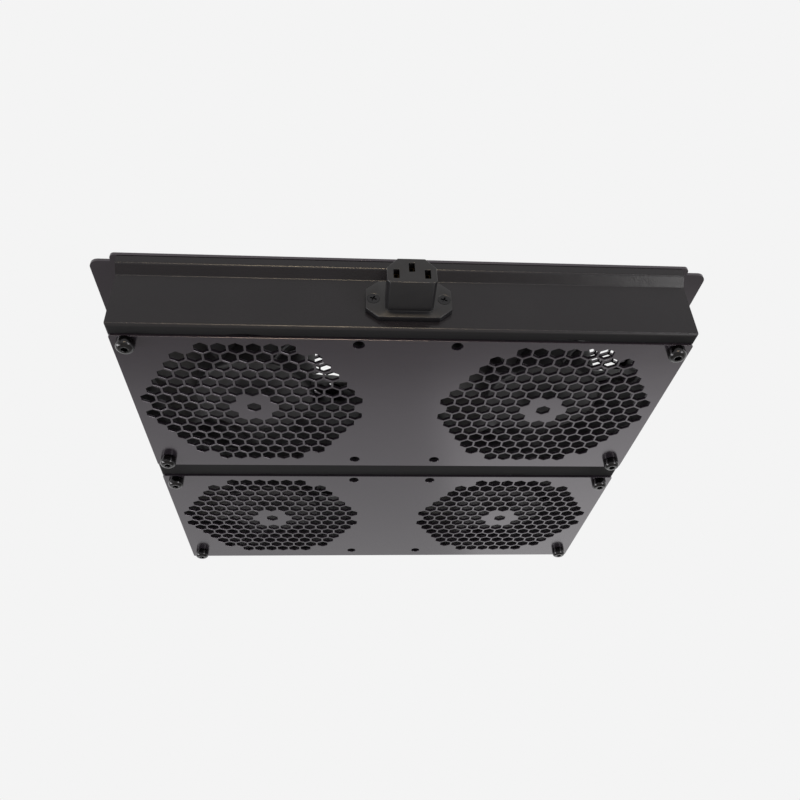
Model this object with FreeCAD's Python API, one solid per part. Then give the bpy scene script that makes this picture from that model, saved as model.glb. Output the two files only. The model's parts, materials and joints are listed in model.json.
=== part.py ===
"""Rack fan tray: four mains axial fans clamped between a folded tray and a top deck.

Frame: +Z up, millimetres.  The origin is the centre of the deck's underside, the face
that lies on the rack when the deck's side ears are bolted down.  The tray hangs below
it; the mains socket is on the rear wall, which faces -Y.  The wiring runs between the
two rows of fans: socket, terminal box, and one two-core lead to each fan.
"""
import FreeCAD, Part
import math
import os

Vec = FreeCAD.Vector
UP = Vec(0, 0, 1)

# ---------------------------------------------------------------- driving dimensions
# axial fans, the common 120 mm mains size
fan_side = 119.0             # square frame
fan_depth = 38.0             # frame depth, sets the depth of the tray
fan_hole_spacing = 105.0
fan_pitch_x = 151.0          # centre to centre, left to right
fan_pitch_y = 130.0          # centre to centre, rear to front
fan_bore_r = 57.25
screw_hole_r = 2.75          # clearance for M5

# folded tray
sheet = 1.0
bend_r = 1.0                 # inside bend radius
tray_half_x = fan_pitch_x / 2 + fan_side / 2 + 0.2 + sheet
tray_half_y = 127.0
tray_floor_z = -fan_depth    # inner face of the tray floor
joggle_out = 4.0             # the rear and front walls step out just below the deck
joggle_low_z = -8.7
joggle_high_z = -4.6

# deck with mounting ears
deck_thickness = 1.5
deck_half_x = 140.0
deck_half_y = tray_half_y + joggle_out + 0.3
ear_half_x = 150.5
ear_half_y = tray_half_y
ear_corner_r = 4.5
deck_corner_r = 2.5
deck_notch_r = 0.6           # between an ear and the deck's end
ear_hole_x = 143.5
ear_hole_y = 90.0
ear_hole_r = 2.75

# grille plates under the tray
plate_thickness = 1.5
plate_half_x = tray_half_x - 0.8
plate_spans = {"rear": (-121.3, -5.2), "front": (8.2, 126.8)}
plate_top_z = tray_floor_z - sheet
plate_corner_r = 1.2
plate_hole_r = 2.85

# honeycomb field over each fan: a hexagon of cells without its six corners and
# without the ring round the centre cell
field_across = 112.0         # between the first and last cell of the widest row
grille_cells_out = 5         # cells from the centre to a side; the pressed sheets have 7
deck_cells_out = 4
cell_web_share = 0.138       # web between two cells, as a share of their pitch

# clamping screws, M5 x 50 socket caps
screw_r = 2.5
screw_length = 50.0
screw_head_r = 4.3
screw_head_height = 5.0
screw_edge_r = 1.6           # rounded edge round the crown
screw_socket_width = 4.0
nut_width = 8.0
nut_height = 4.0

# mains socket
socket_z = -22.5             # centre height on the rear wall
socket_screw_spacing = 33.0

FANS = {
    "rear_left": (-fan_pitch_x / 2, -fan_pitch_y / 2),
    "rear_right": (fan_pitch_x / 2, -fan_pitch_y / 2),
    "front_left": (-fan_pitch_x / 2, fan_pitch_y / 2),
    "front_right": (fan_pitch_x / 2, fan_pitch_y / 2),
}


# ---------------------------------------------------------------- small helpers
def save(shape, node):
    """Write one node; a group of fasteners is a compound of separate solids."""
    if not shape.isValid():
        raise ValueError(node + " is not a valid shape")
    shape.exportStep("parts/" + node + ".step")


def rod(radius, low, high, x=0.0, y=0.0):
    return Part.makeCylinder(radius, high - low, Vec(x, y, low))


def tube(outer, inner, low, high):
    return rod(outer, low, high).cut(rod(inner, low - 1, high + 1))


def block(x0, x1, y0, y1, z0, z1):
    return Part.makeBox(x1 - x0, y1 - y0, z1 - z0, Vec(x0, y0, z0))


def moved(shape, x=0.0, y=0.0, z=0.0, turn=0.0):
    """A copy turned about Z, in degrees, and then shifted."""
    copy = shape.copy()
    copy.rotate(Vec(0, 0, 0), UP, turn)
    copy.translate(Vec(x, y, z))
    return copy


def circle(x, y, radius, z=0.0):
    return Part.Wire(Part.makeCircle(radius, Vec(x, y, z)))


def polygon(points):
    return Part.makePolygon(points + points[:1])


def rounded(points, radii, closed=True):
    """Wire through the points with a tangent arc of the given radius at each corner."""
    count = len(points)
    edges = []
    starts = []
    ends = []
    arcs = []
    for i, (corner, radius) in enumerate(zip(points, radii)):
        if radius <= 0 or (not closed and i in (0, count - 1)):
            starts.append(corner)
            ends.append(corner)
            arcs.append(None)
            continue
        back = (points[i - 1] - corner).normalize()
        ahead = (points[(i + 1) % count] - corner).normalize()
        half = back.getAngle(ahead) / 2
        reach = radius / math.tan(half)
        inward = (back + ahead).normalize()
        middle = corner + inward * (radius / math.sin(half) - radius)
        start = corner + back * reach
        end = corner + ahead * reach
        starts.append(start)
        ends.append(end)
        arcs.append(Part.Arc(start, middle, end).toShape())
    last = count if closed else count - 1
    for i in range(count):
        if arcs[i]:
            edges.append(arcs[i])
        if i < last and ends[i].distanceToPoint(starts[(i + 1) % count]) > 1e-6:
            edges.append(Part.LineSegment(ends[i], starts[(i + 1) % count]).toShape())
    return edges


def face_of(wires):
    return Part.makeFace(wires, "Part::FaceMakerBullseye")


def punched_sheet(outline, holes, low, thickness):
    """Flat sheet with its holes, drawn once and extruded."""
    sheet_face = face_of([outline] + holes)
    sheet_face.translate(Vec(0, 0, low))
    return sheet_face.extrude(UP * thickness)


def fan_screw_points():
    """Every frame hole of the four fans."""
    half = fan_hole_spacing / 2
    return [(x + sx * half, y + sy * half)
            for x, y in FANS.values() for sx in (-1, 1) for sy in (-1, 1)]


def clamp_screw_points():
    """The two outer holes of each fan, the ones that carry screws."""
    return [(x, y) for x, y in fan_screw_points() if abs(x) > fan_pitch_x / 2]


# ---------------------------------------------------------------- sheet metal
def wall_profile():
    """Half section of the tray from the middle of its floor to the top of its lip.

    Points are (distance from the middle, height); the outer face first, then the
    inner face on the way back.
    """
    low = tray_floor_z - sheet
    lean = math.atan2(joggle_out, joggle_high_z - joggle_low_z)
    shift = sheet * math.tan(lean / 2)
    outer = [(0, low), (tray_half_y, low), (tray_half_y, joggle_low_z),
             (tray_half_y + joggle_out, joggle_high_z), (tray_half_y + joggle_out, 0)]
    inner = [(tray_half_y + joggle_out - sheet, 0),
             (tray_half_y + joggle_out - sheet, joggle_high_z + shift),
             (tray_half_y - sheet, joggle_low_z + shift),
             (tray_half_y - sheet, tray_floor_z), (0, tray_floor_z)]
    outer_r = [0, bend_r + sheet, bend_r, bend_r + sheet, 0]
    inner_r = [0, bend_r, bend_r + sheet, bend_r, 0]
    return outer + inner, outer_r + inner_r


def folded_half(side):
    """One half of the folded tray; side is -1 for the rear and 1 for the front."""
    points, radii = wall_profile()
    corners = [Vec(-tray_half_x, side * y, z) for y, z in points]
    section = Part.Face(Part.Wire(Part.sortEdges(rounded(corners, radii))[0]))
    return section.extrude(Vec(2 * tray_half_x, 0, 0))


def side_bend_envelope():
    """Block with the outer radius of the two lower side bends."""
    reach = deck_half_y
    bulk = block(-tray_half_x, tray_half_x, -reach, reach, tray_floor_z - sheet, 0)
    edges = [e for e in bulk.Edges if e.BoundBox.ZMax < tray_floor_z and e.BoundBox.XLength < 1e-3]
    return bulk.makeFillet(bend_r + sheet / 2, edges)


def tray_body():
    shell = folded_half(-1).fuse(folded_half(1))
    inner_y = tray_half_y - sheet
    for side in (-1, 1):
        inner, outer = sorted((side * (tray_half_x - sheet), side * tray_half_x))
        shell = shell.fuse(block(inner, outer, -inner_y, inner_y, tray_floor_z - sheet, 0))
    shell = shell.removeSplitter().common(side_bend_envelope())
    low = tray_floor_z - 2 * sheet
    cuts = [rod(fan_bore_r, low, tray_floor_z + 1, x, y) for x, y in FANS.values()]
    cuts += [rod(screw_hole_r, low, tray_floor_z + 1, x, y) for x, y in fan_screw_points()]
    cuts += [rod(box_screw_r, low, tray_floor_z + 1, 0, y) for y in box_screw_ys]
    cuts.append(socket_cutout())
    return shell.cut(Part.makeCompound(cuts))


def hexagon(x, y, across):
    """Regular hexagon with flat sides left and right."""
    corner = across / math.sqrt(3)
    turns = [math.radians(30 + 60 * i) for i in range(6)]
    return polygon([Vec(x + corner * math.cos(a), y + corner * math.sin(a), 0) for a in turns])


def honeycomb(x, y, cells_out):
    """Cell wires of one field centred on a fan."""
    pitch = field_across / (2 * cells_out)
    across = pitch * (1 - cell_web_share)
    row_pitch = pitch * math.sqrt(3) / 2
    cells = []
    for row in range(-cells_out, cells_out + 1):
        for column in range(-cells_out, cells_out + 1):
            ring = max(abs(row), abs(column), abs(row + column))
            is_corner = ring == cells_out and 0 in (row, column, row + column)
            if ring > cells_out or ring == 1 or is_corner:
                continue
            cells.append(hexagon(x + (column + row / 2) * pitch, y + row * row_pitch, across))
    return cells


def grille_plate(which):
    """Pressed plate over one row of fans, with two honeycomb fields."""
    y0, y1 = plate_spans[which]
    corners = [Vec(x, y, 0) for x, y in ((-plate_half_x, y0), (plate_half_x, y0),
                                         (plate_half_x, y1), (-plate_half_x, y1))]
    outline = Part.Wire(rounded(corners, [plate_corner_r] * 4))
    holes = [circle(x, y, plate_hole_r) for x, y in fan_screw_points() if y0 < y < y1]
    for name, (x, y) in FANS.items():
        if name.startswith(which):
            holes += honeycomb(x, y, grille_cells_out)
    return punched_sheet(outline, holes, plate_top_z - plate_thickness, plate_thickness)


def top_deck():
    """Deck over the fans, with a honeycomb over each; it runs out into two side ears."""
    quarter = [(ear_half_x, ear_half_y, ear_corner_r), (deck_half_x, ear_half_y, deck_notch_r),
               (deck_half_x, deck_half_y, deck_corner_r)]
    corners = []
    for sx, sy in ((1, 1), (-1, 1), (-1, -1), (1, -1)):
        run = quarter if sx * sy > 0 else quarter[::-1]
        corners += [(Vec(sx * x, sy * y, 0), radius) for x, y, radius in run]
    outline = Part.Wire(rounded([c for c, _ in corners], [r for _, r in corners]))
    holes = [circle(x, y, screw_hole_r) for x, y in fan_screw_points()]
    holes += [circle(sx * ear_hole_x, sy * ear_hole_y, ear_hole_r)
              for sx in (-1, 1) for sy in (-1, 1)]
    for x, y in FANS.values():
        holes += honeycomb(x, y, deck_cells_out)
    return punched_sheet(outline, holes, 0, deck_thickness)


# ---------------------------------------------------------------- clamping screws
def hex_prism(width, low, high):
    corner = width / math.sqrt(3)
    turns = [math.radians(60 * i) for i in range(6)]
    wire = polygon([Vec(corner * math.cos(a), corner * math.sin(a), low) for a in turns])
    return Part.Face(wire).extrude(UP * (high - low))


def clamp_screw():
    """Socket cap screw, head down, from under the grille plate to above the nut."""
    seat = plate_top_z - plate_thickness
    crown = seat - screw_head_height
    head = rod(screw_head_r, crown, seat)
    rim = [e for e in head.Edges if e.BoundBox.ZMax < crown + 1e-6]
    head = head.makeFillet(screw_edge_r, rim)
    corner = screw_socket_width / math.sqrt(3)
    chamfer = Part.makeCone(corner + 0.2, corner - 0.2, 0.4, Vec(0, 0, crown))
    drill_point = Part.makeCone(corner - 0.4, 0, 0.9, Vec(0, 0, crown + 2.5))
    head = head.cut(hex_prism(screw_socket_width, crown - 1, crown + 2.5))
    head = head.cut(chamfer).cut(drill_point)
    return head.fuse(rod(screw_r, seat - 0.4, seat + screw_length))


def clamp_nut():
    """Hexagon nut on top of the deck, with its corners turned off."""
    body = hex_prism(nut_width, deck_thickness, deck_thickness + nut_height)
    corner = nut_width / math.sqrt(3)
    cone = Part.makeCone(corner - 0.35 + nut_height, corner - 0.35, nut_height,
                         Vec(0, 0, deck_thickness))
    bore = rod(screw_r, 0, 2 * (deck_thickness + nut_height))
    return body.common(cone).cut(bore)


# ---------------------------------------------------------------- mains socket
socket_flange = (40.2, 22.2, 2.8)        # width, height, thickness
socket_flange_chamfer = (6.0, 5.3)
socket_nose = (22.3, 14.8, 18.8)         # width, height, reach beyond the flange
socket_nose_chamfer = (4.9, 5.6)
socket_root = (25.0, 17.0, 13.0)         # body behind the wall
socket_slot = (2.65, 5.3)
socket_contact_spots = {"neutral": (-7.0, -2.0), "earth": (0.0, 2.0), "line": (7.0, -2.0)}
socket_screw_head_r = 2.9
socket_screw_r = 1.45
flange_face_y = -tray_half_y - socket_flange[2]


def on_wall(width, height, y_from, y_to, top_chamfer, low_chamfer):
    """Prism standing out of the rear wall, with chamfered upper and lower corners."""
    w, h = width / 2, height / 2
    (tx, tz), (lx, lz) = top_chamfer, low_chamfer
    right = [(w - lx, -h), (w, lz - h), (w, h - tz), (w - tx, h)]
    outline = right + [(-x, z) for x, z in right[::-1]]
    wire = polygon([Vec(x, y_from, socket_z + z) for x, z in outline])
    return Part.Face(wire).extrude(Vec(0, y_to - y_from, 0))


def socket_cutout():
    """Opening in the rear wall for the socket's root and its two screws."""
    width, height, _ = socket_root
    hole = on_wall(width + 0.6, height + 0.6, -tray_half_y - 1, -tray_half_y + 3, (1, 1), (1, 1))
    screws = [Part.makeCylinder(socket_screw_r + 0.15, 4, Vec(x, -tray_half_y - 1, socket_z),
                                Vec(0, 1, 0))
              for x in (-socket_screw_spacing / 2, socket_screw_spacing / 2)]
    return Part.makeCompound([hole] + screws)


def socket_housing():
    """Moulded socket: flange outside the wall, three-slot nose, root behind the wall."""
    width, height, thickness = socket_flange
    flange = on_wall(width, height, -tray_half_y, flange_face_y,
                     socket_flange_chamfer, socket_flange_chamfer)
    width, height, reach = socket_nose
    face_y = flange_face_y - reach
    nose = on_wall(width, height, flange_face_y, face_y, socket_nose_chamfer, (1.4, 1.4))
    width, height, root_depth = socket_root
    root_y = -tray_half_y + root_depth
    root = on_wall(width, height, -tray_half_y, root_y, (1, 1), (1, 1))
    housing = flange.fuse(nose).fuse(root).removeSplitter()
    rim = [e for e in housing.Edges
           if abs(e.BoundBox.YMin - face_y) < 1e-6 and abs(e.BoundBox.YMax - face_y) < 1e-6]
    housing = housing.makeFillet(0.5, rim)
    cuts = []
    for x, z in socket_contact_spots.values():
        w, h = socket_slot[0] / 2, socket_slot[1] / 2
        cuts.append(block(x - w, x + w, face_y - 1, root_y + 1,
                          socket_z + z - h, socket_z + z + h))
    for x in (-socket_screw_spacing / 2, socket_screw_spacing / 2):
        start = Vec(x, flange_face_y, socket_z)
        cuts.append(Part.makeCylinder(socket_screw_r + 0.15, 4, start, Vec(0, 1, 0)))
        cuts.append(Part.makeCone(socket_screw_head_r + 0.1, socket_screw_r + 0.15, 1.6,
                                  start, Vec(0, 1, 0)))
    return housing.cut(Part.makeCompound(cuts))


def socket_contact(x, z):
    """Sprung sleeve behind one slot, with a flat tab out of the socket's root."""
    w, h = socket_slot[0] / 2 - 0.1, socket_slot[1] / 2 - 0.1
    front = flange_face_y - socket_nose[2] + 3.0
    root_y = -tray_half_y + socket_root[2]
    z += socket_z
    sleeve = block(x - w, x + w, front, root_y, z - h, z + h)
    gap = block(x - w + 0.5, x + w - 0.5, front - 1, root_y - 4, z - h - 1, z + h - 0.5)
    tab = block(x - 0.4, x + 0.4, root_y, root_y + 7.5, z - h, z + h)
    eye = Part.makeCylinder(0.8, 2, Vec(x - 1, root_y + 5.2, z), Vec(1, 0, 0))
    return sleeve.cut(gap).fuse(tab).cut(eye)


def socket_screw(x):
    """Countersunk screw with a cross recess, through flange and wall."""
    start = Vec(x, flange_face_y, socket_z)
    inward = Vec(0, 1, 0)
    head = Part.makeCone(socket_screw_head_r, socket_screw_r, 1.5, start, inward)
    shank = Part.makeCylinder(socket_screw_r, 8.0, start, inward)
    arm = block(-0.4, 0.4, -0.1, 1.0, -1.6, 1.6)
    arm.rotate(Vec(0, 0, 0), inward, 20)
    cross = arm.copy()
    cross.rotate(Vec(0, 0, 0), inward, 90)
    recess = arm.fuse(cross)
    recess.translate(start)
    return head.fuse(shank).cut(recess)


def socket_nut(x):
    nut = hex_prism(5.5, 0, 2.4).cut(rod(socket_screw_r, -1, 4))
    nut.rotate(Vec(0, 0, 0), Vec(1, 0, 0), -90)
    nut.translate(Vec(x, -tray_half_y + sheet, socket_z))
    return nut


# ---------------------------------------------------------------- axial fan
frame_flange = 4.5
frame_corner_r = 6.0
frame_barrel_r = fan_side / 2 - 0.3
strut_width = 7.0
motor_plate_r = 30.0
motor_plate_low = -5.0       # motor plate and struts sit just inside the outlet face
motor_plate_high = -1.6
bearing_r = 6.5
bearing_width = 4.0
bearing_seat_r = 9.0
bearing_tube_low = -29.0
shaft_r = 2.5
running_gap = 0.03
core_low, core_high = -25.5, -11.5
core_r = 25.4
cup_inner_r = 26.0
cup_outer_r = 27.8
cup_low, cup_high = -32.5, -8.5
hub_r = 30.0
blade_count = 7
blade_tip_r = 55.8
blade_low, blade_high = -34.5, -8.0


def fan_frame():
    """Die-cast housing: two square flanges round a barrel, with the lead's exit hole."""
    half = fan_side / 2
    corners = [Vec(x, y, 0) for x, y in ((-half, -half), (half, -half), (half, half), (-half, half))]
    outline = Part.Wire(rounded(corners, [frame_corner_r] * 4))
    spots = [(sx * fan_hole_spacing / 2, sy * fan_hole_spacing / 2)
             for sx in (-1, 1) for sy in (-1, 1)]
    holes = [circle(x, y, screw_hole_r) for x, y in spots]
    frame = rod(frame_barrel_r, -fan_depth, 0)
    for low in (-fan_depth, -frame_flange):
        frame = frame.fuse(punched_sheet(outline, holes, low, frame_flange))
    frame = frame.cut(rod(fan_bore_r, -fan_depth - 1, 1))
    flare = Part.makeCone(fan_bore_r + 2.0, fan_bore_r, 6.0, Vec(0, 0, -fan_depth))
    lead_hole = Part.makeCylinder(fan_lead_r + 0.2, fan_side, Vec(0, 0, fan_lead_z), Vec(1, 1, 0))
    return frame.cut(flare).cut(lead_hole).removeSplitter()


def fan_motor_mount():
    """Motor plate on four struts that meet the barrel, with the bearing tube below."""
    mount = rod(motor_plate_r, motor_plate_low, motor_plate_high)
    for turn in (45, 135, 225, 315):
        arm = block(motor_plate_r - 3, fan_bore_r + 1, -strut_width / 2, strut_width / 2,
                    motor_plate_low, motor_plate_high)
        mount = mount.fuse(moved(arm, turn=turn))
    mount = mount.common(rod(fan_bore_r, motor_plate_low, motor_plate_high))
    mount = mount.fuse(rod(bearing_seat_r, bearing_tube_low, motor_plate_low))
    return mount.cut(rod(bearing_r, bearing_tube_low - 1, motor_plate_high - 0.8)).removeSplitter()


def fan_bearings():
    """Two ball bearings at the ends of the bearing tube, with recessed shields."""
    pair = []
    for low in (bearing_tube_low, motor_plate_high - 0.8 - bearing_width):
        ring = tube(bearing_r, shaft_r, low, low + bearing_width)
        for face in (low - 1, low + bearing_width - 0.3):
            ring = ring.cut(tube(bearing_r - 1.2, shaft_r + 1.0, face, face + 1.3))
        pair.append(ring)
    return Part.makeCompound(pair)


def fan_core():
    """Stator stack: a ring on the bearing tube with four broad poles."""
    core = rod(core_r, core_low, core_high)
    for turn in (0, 90, 180, 270):
        slot = rod(6.2, core_low - 1, core_high + 1, 17.0, 0)
        mouth = block(17.0, core_r + 1, -1.2, 1.2, core_low - 1, core_high + 1)
        core = core.cut(moved(slot.fuse(mouth), turn=turn))
    return core.cut(rod(bearing_seat_r, core_low - 1, core_high + 1))


def fan_windings():
    """Four coils that fill the slots and stand out above and below the core."""
    coils = []
    for turn in (0, 90, 180, 270):
        coil = rod(5.8, core_low - 3.0, core_high + 2.5, 17.0, 0)
        coils.append(moved(coil, turn=turn))
    return Part.makeCompound(coils)


def fan_rotor():
    """Steel cup of the external rotor, open towards the motor plate."""
    cup = rod(cup_outer_r, cup_low, cup_high).cut(rod(cup_inner_r, cup_low + 1.8, cup_high + 1))
    boss = rod(5.0, cup_low + 1.8, bearing_tube_low - 0.5)
    return cup.fuse(boss).cut(rod(shaft_r - running_gap, cup_low - 1, 0))


def fan_shaft():
    """Shaft pressed in the cup, with a turned neck for its retaining clip."""
    shaft = rod(shaft_r - running_gap, cup_low, motor_plate_high - 1.2)
    clip_z = motor_plate_high - 2.2
    return shaft.cut(tube(4, shaft_r - 0.5, clip_z, clip_z + 0.5))


def blade_section(radius, chord, angle, lead, thickness):
    """Cambered aerofoil across the radius; angle is measured from the plane of rotation."""
    camber = 0.09 * chord
    spots = [(0.0, 0.35, 0.0), (0.3, 1.0, 1.0), (0.65, 0.8, 0.85), (1.0, 0.2, 0.0)]
    upper = [(s, c * camber + thickness * k / 2) for s, k, c in spots]
    lower = [(s, c * camber - thickness * k / 2) for s, k, c in spots[::-1]]
    middle_z = (blade_low + blade_high) / 2
    points = []
    for share, offset in upper + lower:
        along = (share - 0.5) * chord
        across = offset - camber / 2
        u = along * math.cos(angle) - across * math.sin(angle) + lead
        v = along * math.sin(angle) + across * math.cos(angle)
        points.append(Vec(radius, u, middle_z + v))
    return polygon(points)


def fan_impeller():
    """Hub shell over the rotor cup with twisted blades, narrower in pitch to the tip."""
    stations = [(hub_r - 1.0, 27.0, 44.0, 0.0, 2.6), (40.0, 32.0, 36.0, 1.5, 2.2),
                (48.0, 36.0, 30.0, 4.5, 1.9), (blade_tip_r - 2.2, 38.0, 26.0, 8.0, 1.6)]
    sections = [blade_section(r, chord, math.radians(angle), lead, thickness)
                for r, chord, angle, lead, thickness in stations]
    blade = Part.makeLoft(sections, True, True)
    shell = rod(hub_r, cup_low - 2.0, cup_high).cut(rod(cup_outer_r, cup_low, cup_high + 1))
    rim = [e for e in shell.Edges if e.Curve.TypeId == "Part::GeomCircle"
           and abs(e.Curve.Radius - hub_r) < 1e-6 and e.BoundBox.ZMax < cup_low]
    wheel = shell.makeFillet(1.5, rim)
    envelope = tube(blade_tip_r, cup_outer_r + 0.1, blade_low, blade_high)
    blades = [moved(blade, turn=360.0 * i / blade_count).common(envelope)
              for i in range(blade_count)]
    return wheel.multiFuse(blades).removeSplitter()


# ---------------------------------------------------------------- wiring
supply_lead_r = 1.1
fan_lead_r = 1.2
fan_lead_z = motor_plate_low - fan_lead_r    # under the motor plate and one strut
fan_lead_drop = 50.0         # the lead turns down in the pocket at the frame's corner
lead_floor_z = -31.0         # height of the leads where they enter the terminal box
box_half_x = 13.0
box_span_y = (-66.0, -40.0)
box_top_z = -25.0
box_wall = 1.6
box_lid = 1.6
box_screw_r = 1.25
box_screw_ys = (-62.4, -43.6)
box_entries = {"supply": (-5.0, 5.0), "fans": (-9.0, -3.0, 3.0, 9.0)}
earth_stud_y = -74.0
earth_stud_r = 2.0
earth_tag_z = tray_floor_z + 2.2


def lead(points, radius):
    """Round lead along straight runs with an arc, as large as it can be, at each turn."""
    points = [Vec(*p) for p in points]
    radii = [0]
    for before, corner, after in zip(points, points[1:], points[2:]):
        inward, outward = corner - before, after - corner
        run = min(inward.Length, outward.Length)
        radii.append(0.45 * run / math.tan(inward.getAngle(outward) / 2))
    path = Part.Wire(rounded(points, radii + [0], closed=False))
    print("lead", round(path.Length, 1), "mm, bends", [round(r, 1) for r in radii[1:]])
    start = Part.makeCircle(radius, points[0], points[1] - points[0])
    solid = path.makePipeShell([Part.Wire(start)], True, False)
    if abs(solid.Volume / (math.pi * radius ** 2 * path.Length) - 1) > 0.01:
        raise ValueError("a lead's volume doesn't match its length")
    return solid


def lead_receptacles():
    """Insulated push-on receptacle over each of the socket's three tabs."""
    root_y = -tray_half_y + socket_root[2]
    sleeves = []
    for x, z in socket_contact_spots.values():
        z += socket_z
        sleeve = block(x - 1.6, x + 1.6, root_y + 0.5, root_y + 9.5, z - 3.7, z + 3.7)
        long_edges = [e for e in sleeve.Edges if e.BoundBox.YLength > 8]
        sleeve = sleeve.makeFillet(0.8, long_edges)
        tab = block(x - 0.45, x + 0.45, root_y, root_y + 7.7, z - 2.65, z + 2.65)
        sleeves.append(sleeve.cut(tab))
    return Part.makeCompound(sleeves)


def supply_leads():
    """Line and neutral, from the socket's receptacles into the terminal box."""
    start_y = -tray_half_y + socket_root[2] + 9.5
    leads = []
    for name in ("neutral", "line"):
        x, z = socket_contact_spots[name]
        end_x = math.copysign(box_entries["supply"][1], x)
        leads.append(lead([(x, start_y, socket_z + z), (x, start_y + 8, socket_z + z),
                           (0.6 * x + 0.4 * end_x, start_y + 19, lead_floor_z),
                           (end_x, box_span_y[0], lead_floor_z)], supply_lead_r))
    return Part.makeCompound(leads)


def earth_lead():
    """Earth, from the middle receptacle to the barrel of the ring tag on the stud."""
    start_y = -tray_half_y + socket_root[2] + 9.5
    top_z = socket_z + socket_contact_spots["earth"][1]
    low_z = earth_tag_z + supply_lead_r + 0.4
    return lead([(0, start_y, top_z), (0, start_y + 9, top_z), (0, start_y + 16, low_z),
                 (0, earth_stud_y - 6.5, low_z)], supply_lead_r)


def earth_tag():
    """Ring tag: a flat ring on the stud and a barrel crimped round the lead."""
    ring = rod(4.2, earth_tag_z - 0.8, earth_tag_z, 0, earth_stud_y)
    neck = block(-2.0, 2.0, earth_stud_y - 6.5, earth_stud_y - 3.0, earth_tag_z - 0.8, earth_tag_z)
    low_z = earth_tag_z + supply_lead_r + 0.4
    barrel_start = Vec(0, earth_stud_y - 11.0, low_z)
    barrel = Part.makeCylinder(supply_lead_r + 0.6, 6.0, barrel_start, Vec(0, 1, 0))
    lead_bore = Part.makeCylinder(supply_lead_r, 4.5, barrel_start, Vec(0, 1, 0))
    tag = ring.fuse(neck).fuse(barrel).cut(lead_bore)
    return tag.cut(rod(earth_stud_r, earth_tag_z - 2, earth_tag_z + 2, 0, earth_stud_y))


def earth_stud():
    """Weld stud on the tray floor: a low flange and the threaded shank."""
    flange = rod(3.4, tray_floor_z, tray_floor_z + 1.4, 0, earth_stud_y)
    return flange.fuse(rod(earth_stud_r, tray_floor_z, tray_floor_z + 9.0, 0, earth_stud_y))


def earth_nut():
    return moved(hex_prism(7.0, 0, 3.0).cut(rod(earth_stud_r, -1, 4)), y=earth_stud_y, z=earth_tag_z)


def terminal_box():
    """Open-topped moulded box with entries for the leads and posts for two screws."""
    y0, y1 = box_span_y
    low = tray_floor_z
    outside = block(-box_half_x, box_half_x, y0, y1, low, box_top_z)
    uprights = [e for e in outside.Edges if e.BoundBox.ZLength > 5]
    outside = outside.makeFillet(2.0, uprights)
    inside = block(-box_half_x + box_wall, box_half_x - box_wall, y0 + box_wall, y1 - box_wall,
                   low + box_wall, box_top_z + 1)
    box = outside.cut(inside)
    for y in box_screw_ys:
        box = box.fuse(rod(3.0, low, box_top_z, 0, y))
        box = box.cut(rod(box_screw_r, low - 1, box_top_z + 1, 0, y))
    for end_y, side, radius in ((y0, "supply", supply_lead_r), (y1, "fans", fan_lead_r)):
        for x in box_entries[side]:
            start = Vec(x, end_y - box_wall - 0.5, lead_floor_z)
            box = box.cut(Part.makeCylinder(radius, 2 * box_wall + 1, start, Vec(0, 1, 0)))
    return box.removeSplitter()


def terminal_box_lid():
    y0, y1 = box_span_y
    lid = block(-box_half_x, box_half_x, y0, y1, box_top_z, box_top_z + box_lid)
    uprights = [e for e in lid.Edges if e.BoundBox.ZLength > 1]
    lid = lid.makeFillet(2.0, uprights)
    for y in box_screw_ys:
        lid = lid.cut(rod(box_screw_r, box_top_z - 1, box_top_z + box_lid + 1, 0, y))
    return lid


def terminal_box_screw(y):
    """Slotted pan head on the lid, through the box into the tapped tray floor."""
    seat = box_top_z + box_lid
    head = rod(2.6, seat, seat + 1.6, 0, y)
    slot = block(-3, 3, y - 0.4, y + 0.4, seat + 0.8, seat + 2)
    return head.cut(slot).fuse(rod(box_screw_r, tray_floor_z - sheet + 0.1, seat + 0.2, 0, y))


def terminal_bars():
    """Two brass bars across the box, each with a row of clamping screws."""
    bars = []
    middle_y = sum(box_span_y) / 2
    for x in (-7.0, 7.0):
        bar = block(x - 2.5, x + 2.5, middle_y - 7, middle_y + 7,
                    tray_floor_z + box_wall, lead_floor_z + 1.5)
        for y in (middle_y - 4, middle_y, middle_y + 4):
            bar = bar.cut(Part.makeCylinder(1.0, 6, Vec(x - 3, y, lead_floor_z - 1), Vec(1, 0, 0)))
            bar = bar.fuse(rod(1.4, lead_floor_z + 1.5, lead_floor_z + 2.8, x, y))
        bars.append(bar)
    return Part.makeCompound(bars)


def fan_leads():
    """One thin two-core lead from under each motor plate to the terminal box."""
    leads = []
    end_y = box_span_y[1]
    inner_x, outer_x = box_entries["fans"][2:]
    for name, (cx, cy) in FANS.items():
        sx, sy = math.copysign(1, cx), math.copysign(1, cy)
        drop_x, drop_y = cx - sx * fan_lead_drop, cy - sy * fan_lead_drop
        if name.startswith("rear"):
            channel = [(sx * outer_x, drop_y - 9, lead_floor_z)]
            end_x = outer_x
        else:
            channel = [(sx * 8, drop_y - 12, lead_floor_z),
                       (sx * inner_x, drop_y - 36, lead_floor_z)]
            end_x = inner_x
        channel.append((sx * end_x, end_y, lead_floor_z))
        start = bearing_seat_r + 1.0
        route = [(cx - sx * start * math.sqrt(0.5), cy - sy * start * math.sqrt(0.5), fan_lead_z),
                 (drop_x, drop_y, fan_lead_z), (drop_x, drop_y, lead_floor_z + 1.5)]
        leads.append(lead(route + channel, fan_lead_r))
    return Part.makeCompound(leads)


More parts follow.
